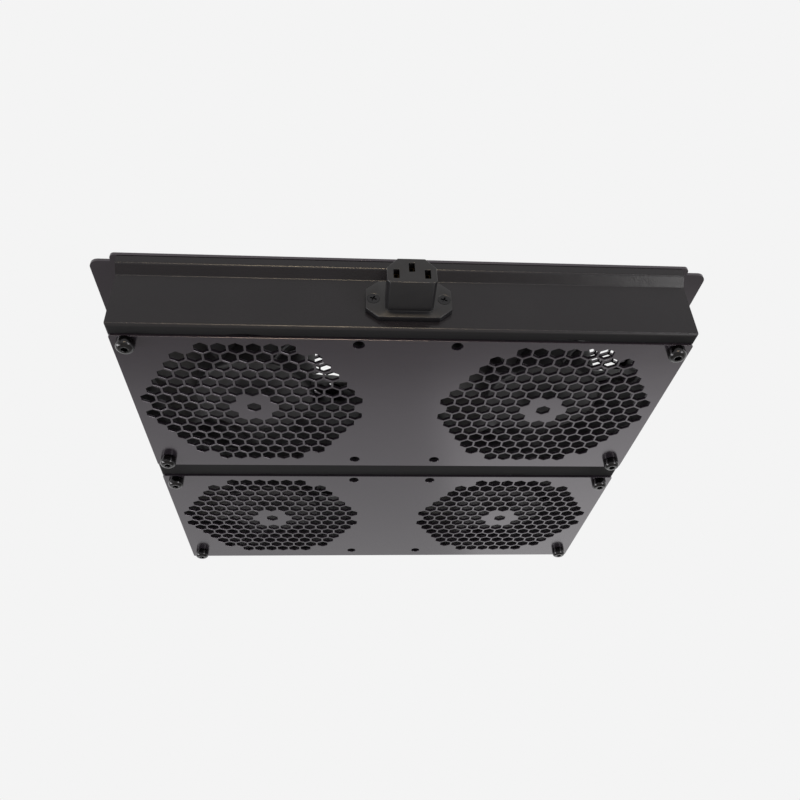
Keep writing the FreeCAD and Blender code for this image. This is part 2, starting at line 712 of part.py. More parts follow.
# ---------------------------------------------------------------- write the nodes
def main():
    os.makedirs("parts", exist_ok=True)
    save(tray_body(), "tray_body")
    save(top_deck(), "top_deck")
    for which in plate_spans:
        save(grille_plate(which), which + "_grille_plate")
    save(Part.makeCompound([moved(clamp_screw(), x, y) for x, y in clamp_screw_points()]),
         "clamp_screws")
    save(Part.makeCompound([moved(clamp_nut(), x, y) for x, y in clamp_screw_points()]),
         "clamp_nuts")

    save(socket_housing(), "socket_housing")
    save(Part.makeCompound([socket_contact(x, z) for x, z in socket_contact_spots.values()]),
         "socket_contacts")
    screw_xs = (-socket_screw_spacing / 2, socket_screw_spacing / 2)
    save(Part.makeCompound([socket_screw(x) for x in screw_xs]), "socket_screws")
    save(Part.makeCompound([socket_nut(x) for x in screw_xs]), "socket_nuts")

    save(lead_receptacles(), "lead_receptacles")
    save(supply_leads(), "supply_leads")
    save(earth_lead(), "earth_lead")
    save(earth_tag(), "earth_tag")
    save(earth_stud(), "earth_stud")
    save(earth_nut(), "earth_nut")
    save(terminal_box(), "terminal_box")
    save(terminal_box_lid(), "terminal_box_lid")
    save(Part.makeCompound([terminal_box_screw(y) for y in box_screw_ys]), "terminal_box_screws")
    save(terminal_bars(), "terminal_bars")
    save(fan_leads(), "fan_leads")

    fan_pieces = {"frame": fan_frame(), "motor_mount": fan_motor_mount(),
                  "bearings": fan_bearings(), "stator_core": fan_core(),
                  "windings": fan_windings(), "rotor_cup": fan_rotor(), "shaft": fan_shaft(),
                  "impeller": fan_impeller()}
    for place, (x, y) in FANS.items():
        turn = math.degrees(math.atan2(-y, -x)) // 90 * 90    # the lead leaves towards the middle
        for piece, shape in fan_pieces.items():
            save(moved(shape, x, y, turn=turn), place + "_fan_" + piece)


main()
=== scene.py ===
"""Rack fan tray: the finish of every surface, and the pieces that are finer than their solids.

Metres, in the frame of the solids: +Z up, mains socket towards -Y, origin in the middle of
the underside of the deck.
"""

import json
import math

import bpy
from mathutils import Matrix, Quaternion, Vector


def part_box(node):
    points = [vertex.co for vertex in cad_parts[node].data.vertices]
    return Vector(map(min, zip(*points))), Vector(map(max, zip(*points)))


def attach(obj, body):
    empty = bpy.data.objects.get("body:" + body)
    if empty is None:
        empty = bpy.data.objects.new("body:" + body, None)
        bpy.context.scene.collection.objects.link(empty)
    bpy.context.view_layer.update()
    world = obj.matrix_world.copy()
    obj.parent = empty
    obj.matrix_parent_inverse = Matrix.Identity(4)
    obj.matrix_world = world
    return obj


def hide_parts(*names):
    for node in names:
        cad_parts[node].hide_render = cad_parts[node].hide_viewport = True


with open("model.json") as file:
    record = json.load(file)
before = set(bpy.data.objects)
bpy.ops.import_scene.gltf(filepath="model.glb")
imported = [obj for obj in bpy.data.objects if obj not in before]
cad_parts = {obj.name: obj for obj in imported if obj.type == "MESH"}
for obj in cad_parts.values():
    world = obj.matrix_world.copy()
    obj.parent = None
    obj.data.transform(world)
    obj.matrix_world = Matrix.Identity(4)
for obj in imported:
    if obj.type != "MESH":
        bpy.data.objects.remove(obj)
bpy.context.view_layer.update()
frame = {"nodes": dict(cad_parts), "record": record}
MM = 0.001

# ---------------------------------------------------------------- sizes
# punched sheets, over and under the fans; a fan's place is the middle of its frame
fan_places = {name.removesuffix("_fan_frame"): (Vector(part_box(name)[0]) + Vector(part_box(name)[1])) / 2
              for name in frame["nodes"] if name.endswith("_fan_frame")}
fan_hole_spacing = 105 * MM
cell_pitch = 8.0 * MM
cell_across = 6.9 * MM
cells_out = 7                  # from the centre of a field to its side
punched_edge = 0.16 * MM       # round of a punched edge under its coat
hole_sides = 32
plate_hole_r = 2.85 * MM
plate_corner_r = 1.2 * MM
deck_hole_r = 2.75 * MM
deck_half_x = 140 * MM         # without the ears
deck_corner_r = 2.5 * MM
ear_hole_place = (143.5 * MM, 90 * MM)
ear_hole_r = 2.75 * MM
ear_half_y = 127 * MM
ear_corner_r = 4.5 * MM
ear_cutter = (20 * MM, 10 * MM, 6 * MM)    # takes off the corners past the ears' ends

# tray's coat: the heights where the underside starts to turn dull and dark and where it is at its dullest
# and darkest; the darker colour is painted shade
dull_shaded_underside_from = -38.0 * MM
dull_shaded_underside_to = -38.8 * MM

# mains socket
moulded_edge = 0.28 * MM
merged_below = 0.002 * MM      # distance between corners of loose faces that are one corner
flat_below = 1                 # degrees that flat faces may turn from each other

# clamping screws, M5
head_round = 1.9 * MM
head_sides = 40
head_socket_across = 3.0 * MM
head_socket_depth = 1.9 * MM
head_socket_edge = 0.18 * MM
shank_sides = 24
shank_r = 2.45 * MM
shank_in_head = 0.2 * MM
tip_round = 0.3 * MM
thread_r = 2.5 * MM
thread_core_r = 2.05 * MM
thread_sunk = 0.1 * MM         # of the ridge in its core
thread_pitch = 0.8 * MM
thread_root = 0.42 * thread_pitch          # half of the ridge's width at its root
thread_crest = 0.08 * thread_pitch
thread_turns = 22
thread_steps = 18              # of a turn
closed_below = 0.001 * MM      # distance between the ends of a seam

# studio
floor_size = 3.3
floor_place = (0, 0, -1.3)
soft_light = 0.55              # strength of the world on the object; as a backdrop it is white
camera_lens = 33.95            # mm, as the sensor's width
camera_sensor = 36
camera_place = (-29.6 * MM, -390.8 * MM, -259.4 * MM)
camera_aim = (-0.9 * MM, -73.2 * MM, -40.5 * MM)
camera_roll = -2.28            # degrees


# ---------------------------------------------------------------- modelling helpers
def only(*pieces):
    """Just these pieces are selected, the first one active."""
    bpy.ops.object.select_all(action="DESELECT")
    for piece in pieces:
        piece.select_set(True)
    bpy.context.view_layer.objects.active = pieces[0]


def place_in_mesh(piece):
    """The piece's place, turn and scale go into its mesh."""
    only(piece)
    bpy.ops.object.transform_apply(location=True, rotation=True, scale=True)


def apply_modifier(piece, kind, **settings):
    """Adds a modifier with these settings and makes its result the mesh."""
    only(piece)
    modifier = piece.modifiers.new(kind.lower(), kind)
    for setting, value in settings.items():
        setattr(modifier, setting, value)
    bpy.ops.object.modifier_apply(modifier=modifier.name)


def cut(piece, tool):
    """Takes the tool's shape out of the piece, and the tool away."""
    apply_modifier(piece, "BOOLEAN", operation="DIFFERENCE", solver="EXACT", object=tool)
    bpy.data.objects.remove(tool)


def round_sharp_edges(piece, radius, segments, turn):
    """Rounds every edge that turns by more than so many degrees."""
    apply_modifier(piece, "BEVEL", width=radius, segments=segments, limit_method="ANGLE",
                   angle_limit=math.radians(turn))


def round_edges(piece, radius, wanted, segments):
    """Rounds the edges whose two ends are wanted."""
    only(piece)
    bpy.ops.object.mode_set(mode="EDIT")
    bpy.ops.mesh.select_mode(type="EDGE")
    bpy.ops.mesh.select_all(action="DESELECT")
    bpy.ops.object.mode_set(mode="OBJECT")
    corners = piece.data.vertices
    for edge in piece.data.edges:
        edge.select = wanted(*(corners[i].co for i in edge.vertices))
    bpy.ops.object.mode_set(mode="EDIT")
    bpy.ops.mesh.bevel(offset=radius, segments=segments, affect="EDGES")
    bpy.ops.object.mode_set(mode="OBJECT")


def stands_upright(a, b):
    """Whether an edge between these ends is upright."""
    return (a - b).to_2d().length < MM / 1000


def near(value, wanted):
    """Whether a coordinate is the wanted one, give or take a rounding error."""
    return abs(value - wanted) < MM / 10


def smooth(piece, turn):
    """Smooth shading over edges that turn by less than so many degrees."""
    only(piece)
    bpy.ops.object.shade_smooth_by_angle(angle=math.radians(turn))


def copies(pattern, places):
    """The pattern at each place, joined in one piece."""
    made = []
    for place in places:
        twin = pattern.copy()
        twin.data = pattern.data.copy()
        twin.location = pattern.location + Vector(place)
        bpy.context.collection.objects.link(twin)
        made.append(twin)
    bpy.data.objects.remove(pattern)
    only(*made)
    bpy.ops.object.join()
    place_in_mesh(made[0])
    return made[0]


def cylinder(radius, low, high, sides, place=(0, 0)):
    """Upright cylinder between two heights, or a prism with a corner towards +Y."""
    bpy.ops.mesh.primitive_cylinder_add(
        vertices=sides, radius=radius, depth=high - low,
        location=(place[0], place[1], (low + high) / 2))
    return bpy.context.object


def finish_piece(piece, name, body, slot, node):
    """Name, finish and body of a finished piece, and the solid that it stands for."""
    place_in_mesh(piece)
    piece.name = name
    piece.data.name = name
    piece.data.materials.clear()
    piece.data.materials.append(FINISHES[slot])
    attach(piece, body)
    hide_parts(node)


# ---------------------------------------------------------------- materials
MIX_FACTOR, MIX_A, MIX_B, MIXED = 0, 6, 7, 2     # sockets of a Mix node that mixes colours
WAVE_BANDS = 3.2                                 # of a wave texture in a metre, at a scale of 1


def linear(hex_colour):
    """sRGB hex to the linear colour that a shader takes."""
    parts = [int(hex_colour[i:i + 2], 16) / 255 for i in (1, 3, 5)]
    return [p / 12.92 if p <= 0.04045 else ((p + 0.055) / 1.055) ** 2.4 for p in parts] + [1.0]


def add_node(tree, kind, inputs, **settings):
    """A node with its settings; each input is a value, or the socket that feeds it."""
    node = tree.nodes.new(kind)
    for setting, value in settings.items():
        setattr(node, setting, value)
    for name, value in inputs.items():
        if isinstance(value, bpy.types.NodeSocket):
            tree.links.new(value, node.inputs[name])
        else:
            node.inputs[name].default_value = value
    return node


def start_material(name):
    """An empty material and the object coordinates that its patterns follow, in metres."""
    material = bpy.data.materials.new(name)
    material.use_nodes = True
    material.node_tree.nodes.clear()
    coords = add_node(material.node_tree, "ShaderNodeTexCoord", {}).outputs["Object"]
    return material, material.node_tree, coords


def end_material(material, inputs):
    """The shader with its inputs, and the finished material."""
    tree = material.node_tree
    shader = add_node(tree, "ShaderNodeBsdfPrincipled", inputs)
    add_node(tree, "ShaderNodeOutputMaterial", {"Surface": shader.outputs["BSDF"]})
    return material


def mottled(tree, coords, grain, dark, light, detail=3.0):
    """Colour that wanders between two tones, and the noise behind it; grain in metres."""
    noise = add_node(tree, "ShaderNodeTexNoise",
                     {"Vector": coords, "Scale": 1 / grain, "Detail": detail})
    tones = add_node(tree, "ShaderNodeMix",
                     {MIX_FACTOR: noise.outputs["Fac"], MIX_A: linear(dark), MIX_B: linear(light)},
                     data_type="RGBA", clamp_factor=True)
    return tones.outputs[MIXED], noise.outputs["Fac"]


def textured_powder_coat():
    """Black polyester powder coat, baked to a fine sandy skin that glitters on the bends. The
    underside, turned away from the gun, takes a thin dry coat that stays dull, and its colour is
    darkened there as painted shade for the dark strips under the wall and between the plates.
    The sand is drawn at 0.7 mm, coarser than the real grains, so that it shows."""
    material, tree, coords = start_material("textured_powder_coat")
    coated, _ = mottled(tree, coords, 22 * MM, "#151316", "#1b191c")
    sand = add_node(tree, "ShaderNodeTexNoise",
                    {"Vector": coords, "Scale": 1 / (0.7 * MM), "Detail": 2.0})
    swell = add_node(tree, "ShaderNodeTexNoise",
                     {"Vector": coords, "Scale": 1 / (4.5 * MM), "Detail": 1.0})
    sandy = add_node(tree, "ShaderNodeBump", {"Height": sand.outputs["Fac"], "Distance": 0.07 * MM})
    relief = add_node(tree, "ShaderNodeBump",
                      {"Height": swell.outputs["Fac"], "Distance": 0.06 * MM,
                       "Normal": sandy.outputs["Normal"]})
    height = add_node(tree, "ShaderNodeSeparateXYZ", {"Vector": coords})
    dull_shaded_underside = add_node(tree, "ShaderNodeMapRange",
                    {"Value": height.outputs["Z"], "From Min": dull_shaded_underside_from, "From Max": dull_shaded_underside_to})
    # painted shade: the underside's colour goes to near black #0c0b0d, for the dark strips under the wall
    # and between the plates
    colour = add_node(tree, "ShaderNodeMix",
                      {MIX_FACTOR: dull_shaded_underside.outputs["Result"], MIX_A: coated, MIX_B: linear("#0c0b0d")},
                      data_type="RGBA")
    rough = add_node(tree, "ShaderNodeMapRange",
                     {"Value": dull_shaded_underside.outputs["Result"], "To Min": 0.24, "To Max": 0.85})
    return end_material(material, {"Base Color": colour.outputs[MIXED], "IOR": 1.35,
                                   "Roughness": rough.outputs["Result"],
                                   "Normal": relief.outputs["Normal"]})


def satin_powder_coat():
    """Smooth black powder coat with a wet, mirror-like satin skin and a faint swell."""
    material, tree, coords = start_material("satin_powder_coat")
    colour, _ = mottled(tree, coords, 30 * MM, "#1a161b", "#1f1b20")
    swell = add_node(tree, "ShaderNodeTexNoise",
                     {"Vector": coords, "Scale": 1 / (9 * MM), "Detail": 1.0})
    dust = add_node(tree, "ShaderNodeTexNoise",
                    {"Vector": coords, "Scale": 1 / (1.2 * MM), "Detail": 3.0})
    relief = add_node(tree, "ShaderNodeBump", {"Height": swell.outputs["Fac"], "Distance": 0.010 * MM})
    rough = add_node(tree, "ShaderNodeMapRange",
                     {"Value": dust.outputs["Fac"], "To Min": 0.14, "To Max": 0.22})
    return end_material(material, {"Base Color": colour, "IOR": 1.65,
                                   "Roughness": rough.outputs["Result"],
                                   "Normal": relief.outputs["Normal"],
                                   "Specular Tint": linear("#fff6ff")})


def painted_die_casting():
    """Black baked enamel over die-cast aluminium: even, a little pebbled."""
    material, tree, coords = start_material("painted_die_casting")
    colour, _ = mottled(tree, coords, 9 * MM, "#141315", "#1b1a1c")
    pebbles = add_node(tree, "ShaderNodeTexNoise",
                       {"Vector": coords, "Scale": 1 / (1.4 * MM), "Detail": 3.0})
    relief = add_node(tree, "ShaderNodeBump", {"Height": pebbles.outputs["Fac"], "Distance": 0.05 * MM})
    rough = add_node(tree, "ShaderNodeMapRange",
                     {"Value": pebbles.outputs["Fac"], "To Min": 0.36, "To Max": 0.52})
    return end_material(material, {"Base Color": colour, "IOR": 1.5,
                                   "Roughness": rough.outputs["Result"],
                                   "Normal": relief.outputs["Normal"]})


def glass_filled_nylon():
    """Moulded black nylon with glass fibre: dull, greyish, faintly clouded."""
    material, tree, coords = start_material("glass_filled_nylon")
    colour, _ = mottled(tree, coords, 6 * MM, "#1d1c1e", "#272628", 6.0)
    skin = add_node(tree, "ShaderNodeTexNoise",
                    {"Vector": coords, "Scale": 1 / (0.5 * MM), "Detail": 2.0})
    relief = add_node(tree, "ShaderNodeBump", {"Height": skin.outputs["Fac"], "Distance": 0.012 * MM})
    rough = add_node(tree, "ShaderNodeMapRange",
                     {"Value": skin.outputs["Fac"], "To Min": 0.45, "To Max": 0.62})
    return end_material(material, {"Base Color": colour, "IOR": 1.53,
                                   "Roughness": rough.outputs["Result"],
                                   "Normal": relief.outputs["Normal"]})


def moulded_thermoplastic():
    """Black polyamide of the socket, from a spark-eroded mould: an even fine grain, with a low
    satin gloss."""
    material, tree, coords = start_material("moulded_thermoplastic")
    colour, _ = mottled(tree, coords, 8 * MM, "#131214", "#19181a")
    grain = add_node(tree, "ShaderNodeTexNoise",
                     {"Vector": coords, "Scale": 1 / (0.35 * MM), "Detail": 2.0})
    relief = add_node(tree, "ShaderNodeBump", {"Height": grain.outputs["Fac"], "Distance": 0.010 * MM})
    rough = add_node(tree, "ShaderNodeMapRange",
                     {"Value": grain.outputs["Fac"], "To Min": 0.25, "To Max": 0.35})
    return end_material(material, {"Base Color": colour, "IOR": 1.42,
                                   "Roughness": rough.outputs["Result"],
                                   "Normal": relief.outputs["Normal"]})


def terminal_polyamide():
    """Moulded grey polyamide of the terminal box: matt, with the faint mottle of a filler."""
    material, tree, coords = start_material("terminal_polyamide")
    colour, filler = mottled(tree, coords, 3 * MM, "#6e7072", "#7b7d7f", 5.0)
    relief = add_node(tree, "ShaderNodeBump", {"Height": filler, "Distance": 0.02 * MM})
    rough = add_node(tree, "ShaderNodeMapRange", {"Value": filler, "To Min": 0.42, "To Max": 0.55})
    return end_material(material, {"Base Color": colour, "IOR": 1.53,
                                   "Roughness": rough.outputs["Result"],
                                   "Normal": relief.outputs["Normal"]})


def natural_nylon():
    """Unfilled nylon of the push-on receptacles: milky, and lit a little from within."""
    material, tree, coords = start_material("natural_nylon")
    colour, cloud = mottled(tree, coords, 5 * MM, "#cfc9b8", "#ddd8ca")
    rough = add_node(tree, "ShaderNodeMapRange", {"Value": cloud, "To Min": 0.30, "To Max": 0.42})
    return end_material(material, {"Base Color": colour, "IOR": 1.53,
                                   "Roughness": rough.outputs["Result"],
                                   "Subsurface Weight": 0.25, "Subsurface Scale": 1.5 * MM})


def black_wire_pvc():
    """Extruded PVC of the fan and supply leads: smooth, with a faint unevenness from the die."""
    material, tree, coords = start_material("black_wire_pvc")
    colour, drag = mottled(tree, coords, 1.2 * MM, "#1a1a1b", "#242425")
    relief = add_node(tree, "ShaderNodeBump", {"Height": drag, "Distance": 0.01 * MM})
    rough = add_node(tree, "ShaderNodeMapRange", {"Value": drag, "To Min": 0.28, "To Max": 0.40})
    return end_material(material, {"Base Color": colour, "IOR": 1.54,
                                   "Roughness": rough.outputs["Result"],
                                   "Normal": relief.outputs["Normal"]})


def green_yellow_pvc():
    """Earth lead: green PVC with yellow stripes across it, as the wiring rules ask."""
    material, tree, coords = start_material("green_yellow_pvc")
    stripes = add_node(tree, "ShaderNodeTexWave",
                       {"Vector": coords, "Scale": 1 / (4.0 * MM) / WAVE_BANDS},
                       bands_direction="DIAGONAL")
    band = add_node(tree, "ShaderNodeMapRange",
                    {"Value": stripes.outputs["Fac"], "From Min": 0.45, "From Max": 0.55})
    colour = add_node(tree, "ShaderNodeMix",
                      {MIX_FACTOR: band.outputs["Result"],
                       MIX_A: linear("#1f7a35"), MIX_B: linear("#d9c420")}, data_type="RGBA")
    return end_material(material, {"Base Color": colour.outputs[MIXED], "IOR": 1.54,
                                   "Roughness": 0.34})


def black_oxide_steel():
    """Screw steel blackened in hot salts and oiled: near black with hard small glints."""
    material, tree, coords = start_material("black_oxide_steel")
    colour, _ = mottled(tree, coords, 2.5 * MM, "#0f0e10", "#191719")
    film = add_node(tree, "ShaderNodeTexNoise",
                    {"Vector": coords, "Scale": 1 / (1.0 * MM), "Detail": 3.0})
    rough = add_node(tree, "ShaderNodeMapRange",
                     {"Value": film.outputs["Fac"], "To Min": 0.20, "To Max": 0.32})
    return end_material(material, {"Base Color": colour, "Metallic": 1.0,
                                   "Roughness": rough.outputs["Result"],
                                   "Coat Weight": 0.6, "Coat Roughness": 0.16})


def bright_zinc_plate():
    """Zinc plate with a clear passivate: pale grey with a faint yellow and blue bloom."""
    material, tree, coords = start_material("bright_zinc_plate")
    colour, _ = mottled(tree, coords, 3 * MM, "#b9bcc0", "#cfcbbd")
    scuffs = add_node(tree, "ShaderNodeTexNoise",
                      {"Vector": coords, "Scale": 1 / (0.8 * MM), "Detail": 4.0})
    rough = add_node(tree, "ShaderNodeMapRange",
                     {"Value": scuffs.outputs["Fac"], "To Min": 0.22, "To Max": 0.42})
    return end_material(material, {"Base Color": colour, "Metallic": 1.0,
                                   "Roughness": rough.outputs["Result"]})


def rolled_brass():
    """Sprung contact brass, its colour darkened nearly to black as painted shade of the deep slots it
    sits in, with rolling lines along the strip.
    """
    material, tree, coords = start_material("rolled_brass")
    stretched = add_node(tree, "ShaderNodeMapping", {"Vector": coords, "Scale": (1.0, 0.06, 1.0)})
    # painted shade: near-black brown tones stand for the shade inside the socket's slots
    colour, lines = mottled(tree, stretched.outputs["Vector"], 0.3 * MM, "#211c14", "#2d271e")
    rough = add_node(tree, "ShaderNodeMapRange", {"Value": lines, "To Min": 0.34, "To Max": 0.50})
    return end_material(material, {"Base Color": colour, "Metallic": 1.0,
                                   "Roughness": rough.outputs["Result"]})


def ground_bearing_steel():
    """Hardened steel, ground: bright, with the fine flecks of grinding."""
    material, tree, coords = start_material("ground_bearing_steel")
    colour, marks = mottled(tree, coords, 0.5 * MM, "#a9abae", "#c4c6c9")
    rough = add_node(tree, "ShaderNodeMapRange", {"Value": marks, "To Min": 0.14, "To Max": 0.28})
    return end_material(material, {"Base Color": colour, "Metallic": 1.0,
                                   "Roughness": rough.outputs["Result"]})


def laminated_core_steel():
    """Stack of 0.5 mm electrical sheets, seen as fine lines with a thin rust-proof varnish."""
    material, tree, coords = start_material("laminated_core_steel")
    sheets = add_node(tree, "ShaderNodeTexWave",
                      {"Vector": coords, "Scale": 1 / (0.5 * MM) / WAVE_BANDS, "Distortion": 0.4},
                      bands_direction="Z")
    colour = add_node(tree, "ShaderNodeMix",
                      {MIX_FACTOR: sheets.outputs["Fac"],
                       MIX_A: linear("#3b3a3a"), MIX_B: linear("#767577")}, data_type="RGBA")
    relief = add_node(tree, "ShaderNodeBump", {"Height": sheets.outputs["Fac"], "Distance": 0.04 * MM})
    return end_material(material, {"Base Color": colour.outputs[MIXED], "Metallic": 0.9,
                                   "Roughness": 0.42, "Normal": relief.outputs["Normal"]})


def painted_rotor_steel():
    """Deep-drawn steel cup with a thin black dip paint."""
    material, tree, coords = start_material("painted_rotor_steel")
    colour, film = mottled(tree, coords, 4 * MM, "#2a2a2c", "#3c3b3d")
    rough = add_node(tree, "ShaderNodeMapRange", {"Value": film, "To Min": 0.32, "To Max": 0.5})
    return end_material(material, {"Base Color": colour, "Metallic": 0.3,
                                   "Roughness": rough.outputs["Result"]})


def enamelled_copper():
    """Varnished winding wire, laid side by side every 0.35 mm."""
    material, tree, coords = start_material("enamelled_copper")
    turns = add_node(tree, "ShaderNodeTexWave",
                     {"Vector": coords, "Scale": 1 / (0.35 * MM) / WAVE_BANDS, "Distortion": 1.5,
                      "Detail": 1.0}, bands_direction="Z")
    colour = add_node(tree, "ShaderNodeMix",
                      {MIX_FACTOR: turns.outputs["Fac"],
                       MIX_A: linear("#5c2c14"), MIX_B: linear("#b8683a")}, data_type="RGBA")
    relief = add_node(tree, "ShaderNodeBump", {"Height": turns.outputs["Fac"], "Distance": 0.06 * MM})
    return end_material(material, {"Base Color": colour.outputs[MIXED], "Metallic": 0.8,
                                   "Roughness": 0.3, "Coat Weight": 0.5, "Coat Roughness": 0.15,
                                   "Normal": relief.outputs["Normal"]})


def studio_floor_paper():
    """Pale matt studio paper."""
    material, tree, coords = start_material("studio_floor_paper")
    colour, _ = mottled(tree, coords, 0.4, "#c6c5c3", "#cccbc9")
    return end_material(material, {"Base Color": colour, "Roughness": 0.9})


FINISHES = {
    "tray_powder_coat": textured_powder_coat(),
    "plate_satin_coat": satin_powder_coat(),
    "fan_casting": painted_die_casting(),
    "impeller_plastic": glass_filled_nylon(),
    "socket_plastic": moulded_thermoplastic(),
    "black_oxide": black_oxide_steel(),
    "zinc_plate": bright_zinc_plate(),
    "contact_brass": rolled_brass(),
    "bearing_steel": ground_bearing_steel(),
    "core_steel": laminated_core_steel(),
    "rotor_steel": painted_rotor_steel(),
    "winding_copper": enamelled_copper(),
    "terminal_plastic": terminal_polyamide(),
    "receptacle_nylon": natural_nylon(),
    "lead_insulation": black_wire_pvc(),
    "earth_insulation": green_yellow_pvc(),
}


def dress_solids():
    """Every solid that stays in view gets the finish of its slot."""
    for part in frame["record"]["subparts"]:
        solid = frame["nodes"][part["node"]]
        solid.data.materials.clear()
        solid.data.materials.append(FINISHES[part["material_slot"]])


# ---------------------------------------------------------------- punched sheets
def field_cells():
    """Cell centres of a honeycomb field about its own middle: a hexagon of cells without
    its six corners and without the ring round the centre cell."""
    cells = []
    for row in range(-cells_out, cells_out + 1):
        for column in range(-cells_out, cells_out + 1):
            ring = max(abs(row), abs(column), abs(row + column))
            is_corner = ring == cells_out and 0 in (row, column, row + column)
            if ring > cells_out or ring == 1 or is_corner:
                continue
            cells.append(Vector(((column + row / 2) * cell_pitch,
                                 row * cell_pitch * math.sqrt(3) / 2, 0)))
    return cells


def punches(low, high, fans, holes):
    """Every punch of one sheet: honeycomb cells at the fans, and round holes."""
    cell = cylinder(cell_across / math.sqrt(3), low, high, sides=6)
    place_in_mesh(cell)
    cells = copies(cell, [Vector((fan.x, fan.y, 0)) + spot for fan in fans for spot in field_cells()])
    rounds = [cylinder(radius, low, high, hole_sides, place) for place, radius in holes]
    only(cells, *rounds)
    bpy.ops.object.join()
    place_in_mesh(cells)
    return cells


def punch(sheet, low, high, fans, holes):
    """Cuts the holes and rounds every edge as the press and the coat leave it."""
    cut(sheet, punches(low - MM, high + MM, fans, holes))
    round_sharp_edges(sheet, punched_edge, segments=2, turn=40)


def fan_holes(fan):
    """Places of the four screw holes round a fan."""
    half = fan_hole_spacing / 2
    return [(fan.x + sx * half, fan.y + sy * half) for sx in (-1, 1) for sy in (-1, 1)]


def blank(node):
    """Plain slab that fills the box of a solid."""
    low, high = (Vector(corner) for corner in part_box(node))
    bpy.ops.mesh.primitive_cube_add(size=1, location=(low + high) / 2, scale=high - low)
    slab = bpy.context.object
    place_in_mesh(slab)
    return slab, low, high


def grille_sheet(which):
    """Pressed sheet under one row of fans."""
    node = which + "_grille_plate"
    sheet, low, high = blank(node)
    round_edges(sheet, plate_corner_r, stands_upright, segments=4)
    fans = [place for name, place in fan_places.items() if name.startswith(which)]
    holes = [(spot, plate_hole_r) for fan in fans for spot in fan_holes(fan)]
    punch(sheet, low.z, high.z, fans, holes)
    finish_piece(sheet, which + "_grille", "tray", "plate_satin_coat", node)


def deck_sheet():
    """Deck over the fans with its two mounting ears."""
    sheet, low, high = blank("top_deck")
    cutters = []
    for sx in (-1, 1):
        for sy in (-1, 1):
            beyond = (sx * (deck_half_x + ear_cutter[0] / 2), sy * (ear_half_y + ear_cutter[1] / 2),
                      high.z / 2)
            bpy.ops.mesh.primitive_cube_add(size=1, location=beyond, scale=ear_cutter)
            cutters.append(bpy.context.object)
    only(*cutters)
    bpy.ops.object.join()
    place_in_mesh(cutters[0])
    cut(sheet, cutters[0])
    for half_x, half_y, radius in ((high.x, ear_half_y, ear_corner_r),
                                   (deck_half_x, high.y, deck_corner_r)):
        round_edges(sheet, radius, lambda a, b: stands_upright(a, b) and near(abs(a.x), half_x)
                    and near(abs(a.y), half_y), segments=8)
    holes = [(spot, deck_hole_r) for fan in fan_places.values() for spot in fan_holes(fan)]
    holes += [((sx * ear_hole_place[0], sy * ear_hole_place[1]), ear_hole_r)
              for sx in (-1, 1) for sy in (-1, 1)]
    punch(sheet, low.z, high.z, list(fan_places.values()), holes)
    finish_piece(sheet, "deck", "tray", "plate_satin_coat", "top_deck")


# ---------------------------------------------------------------- mains socket
def mains_socket():
    """The socket's housing with the small rounds that its mould leaves on every edge."""
    mesh = frame["nodes"]["socket_housing"].data.copy()
    housing = bpy.data.objects.new("socket", mesh)
    bpy.context.collection.objects.link(housing)
    only(housing)
    bpy.ops.object.mode_set(mode="EDIT")
    bpy.ops.mesh.select_all(action="SELECT")
    bpy.ops.mesh.remove_doubles(threshold=merged_below)
    bpy.ops.mesh.dissolve_limited(angle_limit=math.radians(flat_below))
    bpy.ops.object.mode_set(mode="OBJECT")
    round_sharp_edges(housing, moulded_edge, segments=3, turn=32)
    smooth(housing, turn=28)
    finish_piece(housing, "socket", "tray", "socket_plastic", "socket_housing")


# ---------------------------------------------------------------- clamping screws
def ring_order(square):
    """Vertices of a square in the order of its outline."""
    return [square.data.vertices[i] for i in square.data.polygons[0].vertices]


def close_shell(piece):
    """Open ends get a face, and all faces point outwards."""
    only(piece)
    bpy.ops.object.mode_set(mode="EDIT")
    bpy.ops.mesh.select_all(action="SELECT")
    bpy.ops.mesh.remove_doubles(threshold=closed_below)
    bpy.ops.mesh.fill_holes(sides=0)
    bpy.ops.mesh.normals_make_consistent(inside=False)
    bpy.ops.object.mode_set(mode="OBJECT")


def thread_ridge(top):
    """Helical ridge of the thread, closed at both ends, that runs down from the screw's tip."""
    bpy.ops.mesh.primitive_plane_add(size=1)
    ridge = bpy.context.object
    inner = thread_core_r - thread_sunk
    outline = [(inner, -thread_root), (thread_r, -thread_crest), (thread_r, thread_crest),
               (inner, thread_root)]
    for vertex, (radius, height) in zip(ring_order(ridge), outline):
        vertex.co = (radius, 0, height)
    only(ridge)
    bpy.ops.object.mode_set(mode="EDIT")
    bpy.ops.mesh.select_all(action="SELECT")
    bpy.ops.mesh.delete(type="ONLY_FACE")
    bpy.ops.object.mode_set(mode="OBJECT")
    apply_modifier(ridge, "SCREW", axis="Z", angle=math.tau, screw_offset=thread_pitch,
                   iterations=thread_turns, steps=thread_steps, render_steps=thread_steps)
    close_shell(ridge)
    ridge.location.z = top - (thread_turns + 1) * thread_pitch
    return ridge


def domed_head(head_r, low, seat):
    """Screw head with a well rounded edge and a hexagon socket, under the plates."""
    head = cylinder(head_r, low, seat, head_sides)
    place_in_mesh(head)
    round_edges(head, head_round, lambda a, b: near(a.z, low) and near(b.z, low), segments=8)
    hexagon = cylinder(head_socket_across / math.sqrt(3), low - MM, low + head_socket_depth, sides=6)
    place_in_mesh(hexagon)
    cut(head, hexagon)
    round_sharp_edges(head, head_socket_edge, segments=2, turn=50)
    return head


